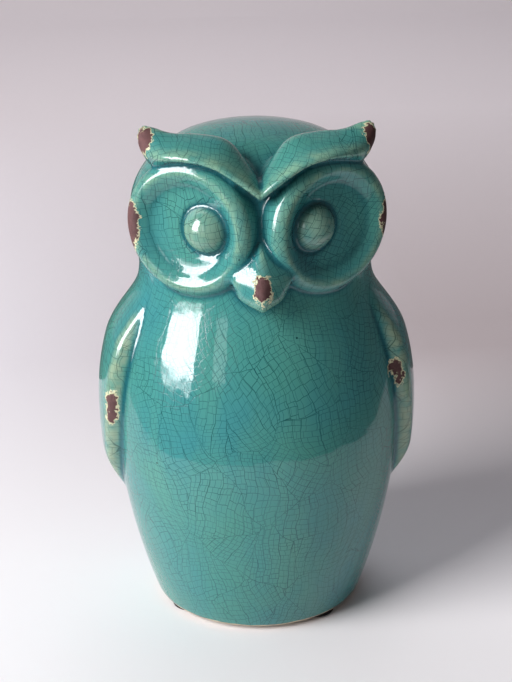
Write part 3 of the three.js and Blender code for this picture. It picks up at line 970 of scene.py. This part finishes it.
def rib_tree(material):
    """Geometry nodes: a number of round beads, one above the other, each bent into a ring."""
    tree = bpy.data.node_groups.new("sealing_ribs", "GeometryNodeTree")
    sizes = (("Count", "NodeSocketInt"), ("Pitch", "NodeSocketFloat"), ("First height", "NodeSocketFloat"),
             ("Ring radius", "NodeSocketFloat"), ("Bead radius", "NodeSocketFloat"))
    for name, kind in sizes:
        tree.interface.new_socket(name, in_out="INPUT", socket_type=kind)
    tree.interface.new_socket("Geometry", in_out="OUTPUT", socket_type="NodeSocketGeometry")
    size = add(tree, "NodeGroupInput").node.outputs
    ring = {"Resolution": 96, "Radius": size["Ring radius"]}
    bead = {"Resolution": 16, "Radius": size["Bead radius"]}
    rib = add(tree, "GeometryNodeCurveToMesh", {
        "Curve": add(tree, "GeometryNodeCurvePrimitiveCircle", ring),
        "Profile Curve": add(tree, "GeometryNodeCurvePrimitiveCircle", bead),
    })
    stations = add(tree, "GeometryNodeMeshLine", {
        "Count": size["Count"],
        "Start Location": add(tree, "ShaderNodeCombineXYZ", {"Z": size["First height"]}),
        "Offset": add(tree, "ShaderNodeCombineXYZ", {"Z": size["Pitch"]}),
    })
    ribs = add(tree, "GeometryNodeInstanceOnPoints", {"Points": stations, "Instance": rib})
    real = add(tree, "GeometryNodeRealizeInstances", {"Geometry": ribs})
    smooth = add(tree, "GeometryNodeSetShadeSmooth", {"Geometry": real})
    finished = add(tree, "GeometryNodeSetMaterial", {"Geometry": smooth, "Material": material})
    add(tree, "NodeGroupOutput", {"Geometry": finished})
    return tree


def make_ribs(material):
    bead = 1.0
    sizes = {
        "Count": BUNG_RIB_COUNT,
        "Pitch": (BUNG_SKIRT - 3) / BUNG_RIB_COUNT * MM,
        "First height": (FLOOR_Z - GAP + 2) * MM,
        "Ring radius": (HOLE_RADIUS - GAP - bead) * MM,
        "Bead radius": bead * MM,
    }
    piece = mesh_object("bung_sealing_ribs", [(0, 0, 0)], [])
    ribs = piece.modifiers.new("ribs", "NODES")
    ribs.node_group = rib_tree(material)
    for item in ribs.node_group.interface.items_tree:
        if item.in_out == "INPUT":
            ribs[item.identifier] = sizes[item.name]
    return baked(piece)


def foam_pad(name, node):
    """A foam disc with soft cut edges, centred on its place under the foot."""
    low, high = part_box(node)
    centre = np.array((low + high) / 2) / MM
    profile = [(0, 0)]
    for turn in np.linspace(-90, 90, 9):
        a = math.radians(turn)
        height = PAD_THICKNESS / 2 * (1 + math.sin(a))
        profile.append((PAD_RADIUS - 0.5 + 0.5 * math.cos(a), height))
    profile.append((0, PAD_THICKNESS))
    piece = revolve(name, profile, 64)
    piece.data.transform(Matrix.Translation((centre[0] * MM, centre[1] * MM, 0)))
    piece.data.set_sharp_from_angle(angle=math.radians(50))
    return piece


# ---- the table, the light and the camera ----------------------------------------------------------

def sheet_object(name, rows, material):
    """A staged surface from rows of points in metres."""
    columns = len(rows[0])
    mesh = bpy.data.meshes.new(name)
    faces = [
        (r * columns + c, r * columns + c + 1, (r + 1) * columns + c + 1, (r + 1) * columns + c)
        for r in range(len(rows) - 1) for c in range(columns - 1)
    ]
    mesh.from_pydata([p for row in rows for p in row], [], faces)
    mesh.polygons.foreach_set("use_smooth", [True] * len(mesh.polygons))
    mesh.materials.append(material)
    sheet = bpy.data.objects.new(name, mesh)
    bpy.context.scene.collection.objects.link(sheet)
    return sheet


def only_in_the_glaze(sheet):
    sheet.visible_camera = sheet.visible_diffuse = sheet.visible_shadow = False


def board_material():
    """Matt white board with painted shade: greyer to the right of the owl than in front of it or far behind.
    """
    material, tree = new_material("matt_white_board_with_painted_shade")
    place = add(tree, "TexCoord", give="Object")
    x, y = (add(tree, "SeparateXYZ", {0: place}, give=axis) for axis in "XY")
    # Painted shade: the board is made greyer to the right of the owl and far behind it, in place of the
    # window light's fall-off and penumbra there.
    right = add(tree, "MapRange", {"Value": x, "From Min": -0.24, "From Max": 0.14})
    behind = add(tree, "MapRange", {"Value": y, "From Min": 0.02, "From Max": 0.3})
    far = add(tree, "MapRange", {"Value": y, "From Min": 0.35, "From Max": 0.95})
    tone = add(tree, "Mix", {0: right, 6: colour("#e6e3ea"), 7: colour("#b3a9ac")}, **BLEND)
    tone = add(tree, "Mix", {0: far, 6: tone, 7: colour("#ddd6da")}, **BLEND)
    tone = add(tree, "Mix", {0: behind, 6: colour("#eae8ec"), 7: tone}, **BLEND)
    surface = {"Base Color": tone, "Roughness": 0.8, "Specular IOR Level": 0.2}
    add(tree, "OutputMaterial", {"Surface": add(tree, "BsdfPrincipled", surface)})
    return material


def make_table():
    """A white table that curves up into a pale wall, further back than any view of the owl stands."""
    side, front, back, bend, top = 3.0, -3.0, 2.3, 0.85, 2.4
    board = board_material()
    rows = [[(x, y, 0) for x in (-side, side)] for y in (front, -1, 0, back - bend)]
    table = sheet_object("table", rows, board)
    table.visible_glossy = table.visible_transmission = False
    # Only the board close to the owl shows in its glaze; the room beyond it is dim.
    radius, near_back, shift, lift = 0.262, 0.27, 0.015, 0.0001
    turns = np.linspace(math.pi, 0, 49)
    rows = [
        [(radius * math.cos(a) + shift, -radius * math.sin(a), lift) for a in turns],
        [(2 * radius * math.cos(a), near_back, lift) for a in turns],
    ]
    only_in_the_glaze(sheet_object("table_near_the_owl", rows, board))
    profile = []
    for turn in np.linspace(0, math.pi / 2, 17):
        profile.append((back - bend + bend * math.sin(turn), bend * (1 - math.cos(turn))))
    profile.append((back, top))
    rows = [[(x, y, z) for x in (-side, side)] for y, z in profile]
    sheet_object("wall", rows, board)


def window_card(name, centre, aim, width, height, strength):
    """A ragged-edged window that only shows in reflections: clear sky above, broken light below."""
    material, tree = new_material(name)
    place = add(tree, "TexCoord", give="UV")
    wander = add(tree, "TexNoise", {"Vector": place, "Scale": 5.0, "Detail": 4.0}, give="Color")
    bent = add(tree, "VectorMath", {0: wander, 1: (0.22, 0.22, 0), 2: place}, operation="MULTIPLY_ADD")
    across = add(tree, "SeparateXYZ", {0: bent}, give="X")
    rise = add(tree, "SeparateXYZ", {0: bent}, give="Y")
    shown = 1.0
    for run in (across, rise):
        off = add(tree, "Math", {0: add(tree, "Math", {0: run, 1: -0.61}), 1: 0.0}, operation="ABSOLUTE")
        inside = add(tree, "MapRange", {"Value": off, "From Min": 0.4, "From Max": 0.38})
        shown = add(tree, "Math", {0: shown, 1: inside}, operation="MULTIPLY")
    cloud = add(tree, "TexNoise", {"Vector": place, "Scale": 14.0, "Detail": 4.0, "Roughness": 0.6})
    cloud = add(tree, "MapRange", {
        "Value": cloud, "From Min": 0.35, "From Max": 0.65,
        "To Min": 0.12 * strength, "To Max": 0.5 * strength,
    })
    sky = add(tree, "MapRange", {"Value": rise, "From Min": 0.27, "From Max": 0.31})
    power = add(tree, "Mix", {0: sky, 2: cloud, 3: strength}, data_type="FLOAT")
    glow = add(tree, "Emission", {"Color": colour("#fbfdff"), "Strength": power})
    seen = add(tree, "MixShader", {0: shown, 1: add(tree, "BsdfTransparent"), 2: glow})
    add(tree, "OutputMaterial", {"Surface": seen})
    facing = (Vector(aim) - Vector(centre)).to_track_quat("-Z", "Y").to_matrix().to_4x4()
    turned = Matrix.Translation(centre) @ facing
    rows = [[tuple(turned @ Vector((x * width / 2, y * height / 2, 0))) for x in (1, -1)] for y in (-1, 1)]
    card = sheet_object(name, rows, material)
    card.data.uv_layers.new(name="window").data.foreach_set("uv", (0, 0, 1, 0, 1, 1, 0, 1))
    only_in_the_glaze(card)


def soft_light(name, centre, aim, width, height, power, code):
    lamp = bpy.data.lights.new(name, "AREA")
    lamp.shape = "RECTANGLE"
    lamp.size, lamp.size_y, lamp.energy = width, height, power
    lamp.color = colour(code)[:3]
    light = bpy.data.objects.new(name, lamp)
    light.location = centre
    light.rotation_euler = (Vector(aim) - Vector(centre)).to_track_quat("-Z", "Y").to_euler()
    light.visible_glossy = False
    bpy.context.scene.collection.objects.link(light)


def make_light():
    middle = (0, 0, 0.12)
    soft_light("window_light", (-1.36, -0.78, 1.0), middle, 1.0, 1.2, 53, "#fffdfb")
    soft_light("ceiling_light", (0.35, 0.3, 1.5), (0.15, 0.1, 0), 0.7, 0.7, 1.5, "#fdfbff")
    soft_light("rear_light", (-0.1, 1.1, 1.3), (-0.1, 1.1, 0), 1.2, 0.8, 7, "#fdfbff")
    window_card("window_in_the_glaze", (-1.29, -0.55, 0.72), (0, 0, 0.72), 1.0, 1.75, 22)
    window_card("far_window_in_the_glaze", (-0.72, -1.2, 0.5), (0, 0, 0.5), 0.3, 0.9, 2.5)
    world = bpy.data.worlds.new("room")
    world.use_nodes = True
    world.node_tree.nodes.clear()
    room = add(world.node_tree, "Background", {"Color": colour("#f6f2f4"), "Strength": 0.1})
    add(world.node_tree, "OutputWorld", {"Surface": room})
    bpy.context.scene.world = world


def make_camera():
    distance, height = 0.7388, 0.4523
    pitch, yaw, roll, half_view = (math.radians(turn) for turn in (23.1, 2.84, -0.65, 12))
    data = bpy.data.cameras.new("camera")
    data.sensor_width = 36
    data.lens = data.sensor_width / 2 / math.tan(half_view)
    camera = bpy.data.objects.new("camera", data)
    forward = Vector((math.sin(yaw) * math.cos(pitch), math.cos(yaw) * math.cos(pitch), -math.sin(pitch)))
    right = Vector((math.cos(yaw), -math.sin(yaw), 0))
    up = right.cross(forward)
    tilted_right = right * math.cos(roll) + up * math.sin(roll)
    tilted_up = up * math.cos(roll) - right * math.sin(roll)
    turn = Matrix((tilted_right, tilted_up, -forward)).transposed().to_4x4()
    place = Vector((-distance * math.sin(yaw), -distance * math.cos(yaw), height))
    camera.matrix_world = Matrix.Translation(place) @ turn
    bpy.context.scene.collection.objects.link(camera)
    bpy.context.scene.camera = camera


# ---- build --------------------------------------------------------------------------------------

make_camera()
make_table()
make_light()
bpy.context.scene.view_settings.view_transform = "Standard"

casting = ceramic_piece()
finish_piece(casting, crackle_glaze(), "bank", "glazed_ceramic", "ceramic_shell")

vinyl = soft_vinyl()
reach = BUNG_FLANGE_RADIUS + 2
bung = net_piece("soft_bung", bung_field, (-reach, -reach, 2), (reach, reach, 21), BUNG_STEP)
finish_piece(bung, vinyl, "stopper", "soft_vinyl", "base_stopper")
finish_piece(make_ribs(vinyl), vinyl, "stopper", "soft_vinyl")

foam = closed_cell_foam()
for corner in ("front_left", "front_right", "rear_left", "rear_right"):
    node = f"foot_pad_{corner}"
    finish_piece(foam_pad(f"foam_pad_{corner}", node), foam, "bank", "foam_pad", node)
